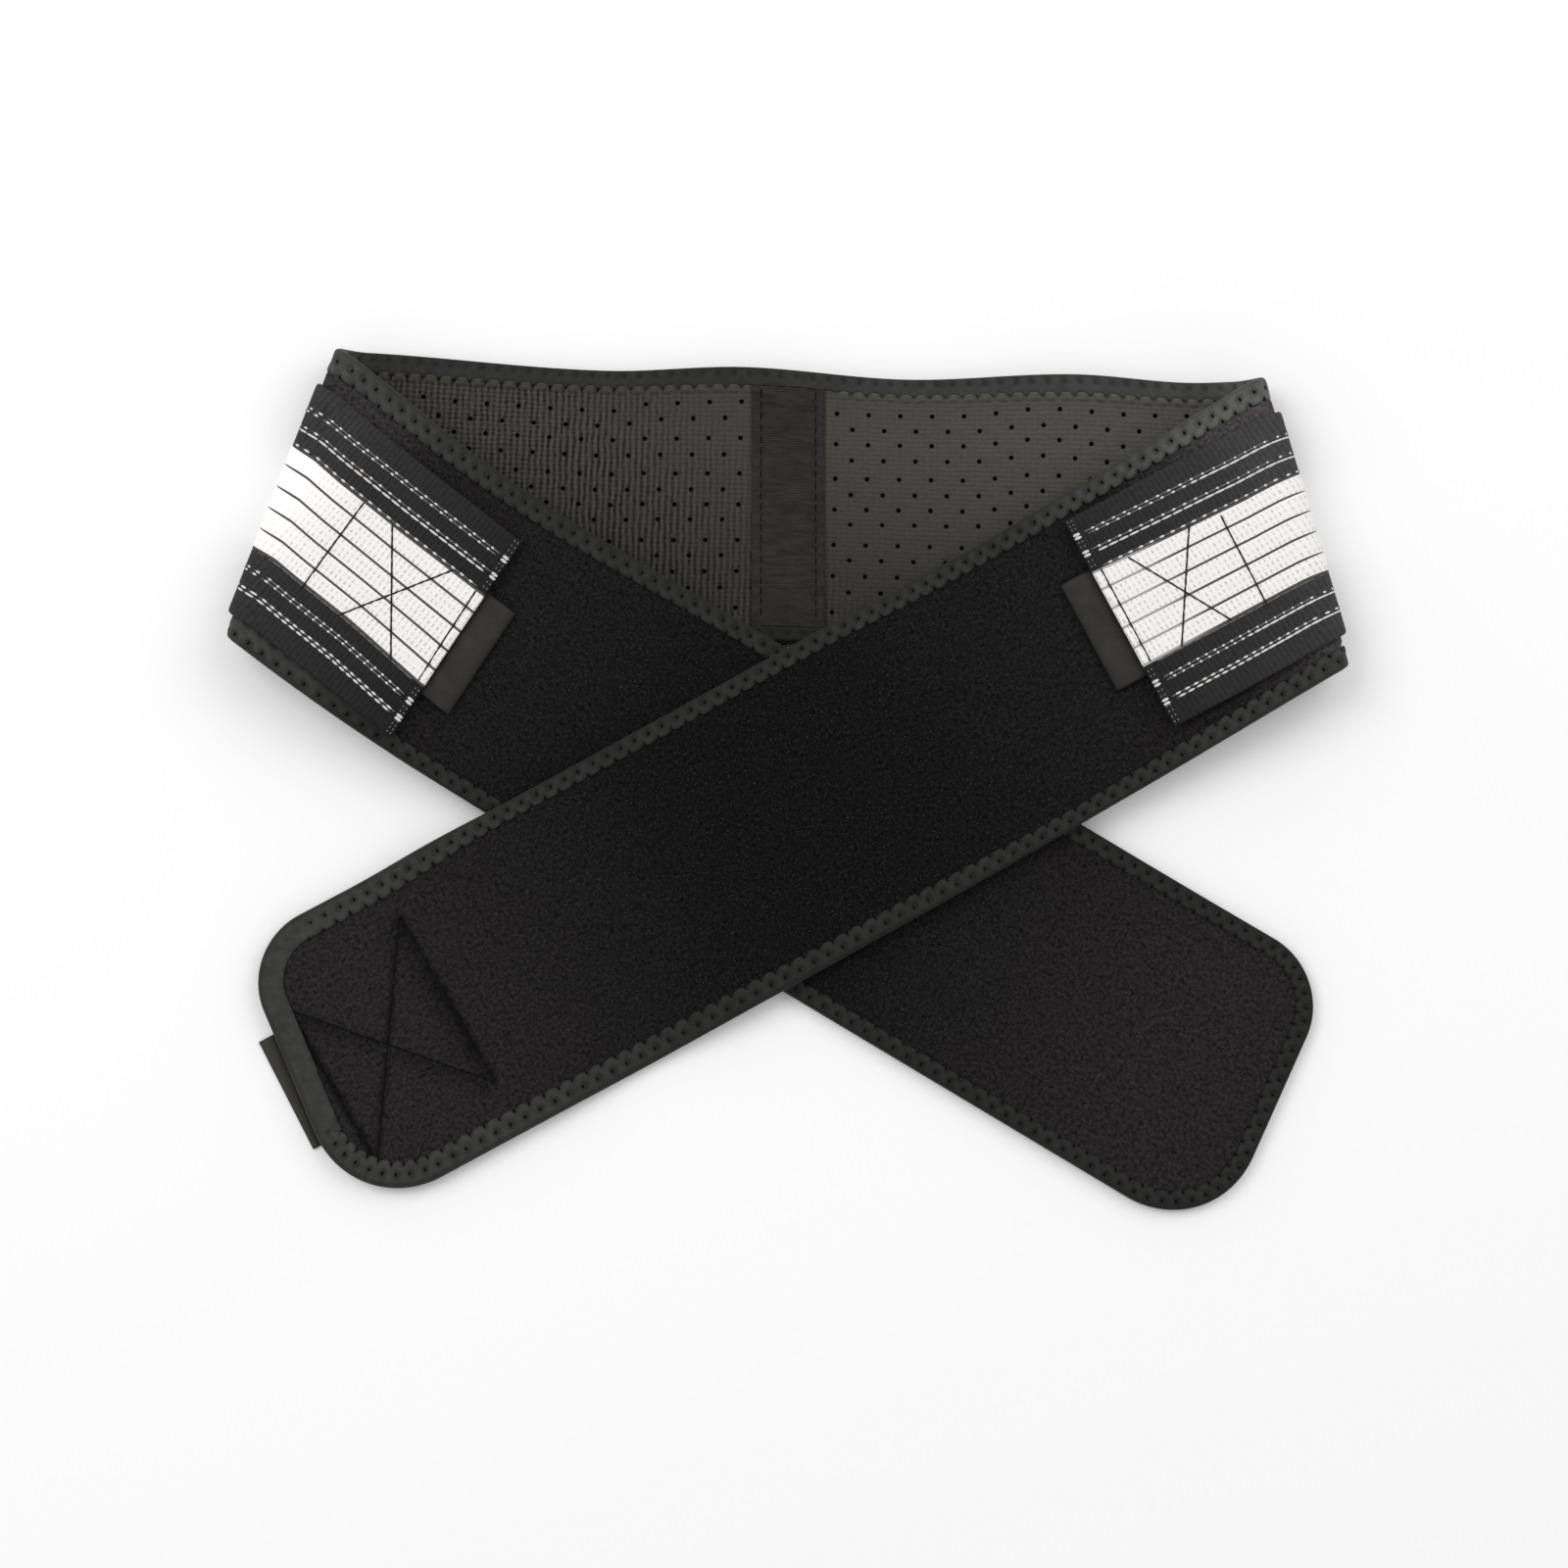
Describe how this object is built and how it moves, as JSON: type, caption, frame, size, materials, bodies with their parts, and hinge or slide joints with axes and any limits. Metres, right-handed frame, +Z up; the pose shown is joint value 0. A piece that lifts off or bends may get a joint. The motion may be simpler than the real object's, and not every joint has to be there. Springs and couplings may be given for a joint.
{
  "type": "sacroiliac belt",
  "caption": "Hip support belt of plush and perforated lining, bound at the edge, folded and crossed flat, with striped elastic straps that end in hook tabs.",
  "frame": {"origin": "middle of the belt's plan, on the table that it lies on", "axes": "+X along the back panel, +Y from the crossed wing tips to the back panel, +Z up from the table"},
  "size_m": [0.3796, 0.2862, 0.0242],
  "materials": {
    "plush": "brushed loop pile, black",
    "lining": "perforated knit on foam, dark grey",
    "binding": "stretch binding tape, charcoal",
    "casing": "plain woven casing, near black",
    "webbing": "woven elastic webbing, white with black borders",
    "hook_tape": "moulded hook tape, dark grey"
  },
  "bodies": {
    "root": {"outer_plush": "plush", "inner_lining": "lining", "edge_binding": "binding", "centre_channel": "casing", "strap_left": "webbing", "strap_right": "webbing", "hook_tab_left": "hook_tape", "hook_tab_right": "hook_tape", "hook_tab_front": "hook_tape"}
  },
  "joints": []
}
